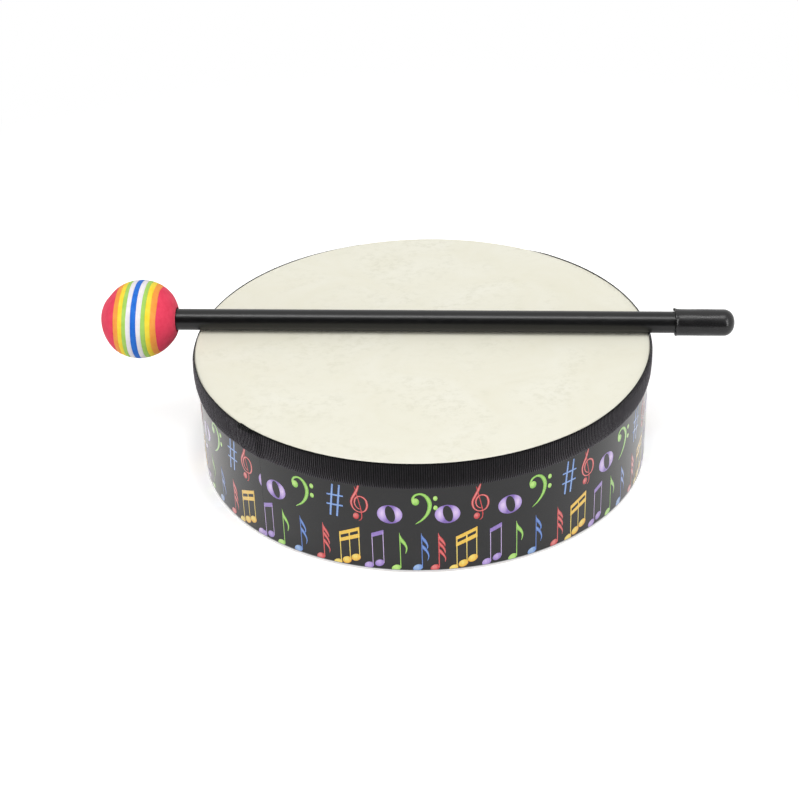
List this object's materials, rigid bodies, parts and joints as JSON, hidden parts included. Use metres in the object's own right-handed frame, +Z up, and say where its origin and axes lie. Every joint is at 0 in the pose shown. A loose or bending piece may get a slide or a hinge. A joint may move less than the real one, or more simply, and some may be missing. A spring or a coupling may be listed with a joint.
{
  "type": "hand drum with beater",
  "caption": "Shallow round hand drum, open underneath, with a printed wrap, a ribbon round its rim and a foam-ball beater lying across its head.",
  "frame": {"origin": "on the surface that the drum stands on, in the middle of the set's outline; the drum's axis is at X +3.8 mm", "axes": "+Z up, along the drum's axis, +X along the beater towards its end cap, -Y towards the viewer"},
  "size_m": [0.346, 0.25, 0.0942],
  "materials": {
    "shell_wood": "satin",
    "wrap_film": "gloss",
    "head_film": "satin",
    "ribbon": "matte",
    "shaft_tube": "gloss",
    "cap_vinyl": "satin",
    "glue": "satin",
    "foam_red": "matte",
    "foam_orange": "matte",
    "foam_yellow": "matte",
    "foam_green": "matte",
    "foam_white": "matte",
    "foam_blue": "matte"
  },
  "bodies": {
    "drum": {"shell": "shell_wood", "printed_wrap": "wrap_film", "drum_head": "head_film", "rim_ribbon": "ribbon"},
    "beater": {"beater_shaft": "shaft_tube", "end_cap": "cap_vinyl", "ball_glue": "glue", "foam_01_red": "foam_red", "foam_02_orange": "foam_orange", "foam_03_yellow": "foam_yellow", "foam_04_green": "foam_green", "foam_05_white": "foam_white", "foam_06_blue": "foam_blue", "foam_07_white": "foam_white", "foam_08_green": "foam_green", "foam_09_yellow": "foam_yellow", "foam_10_orange": "foam_orange", "foam_11_red": "foam_red"}
  },
  "joints": [
    {"name": "beater_lift", "type": "slide", "parent": "drum", "child": "beater", "axis": [0, 0, 1], "range_m": [0, 0.12]}
  ]
}
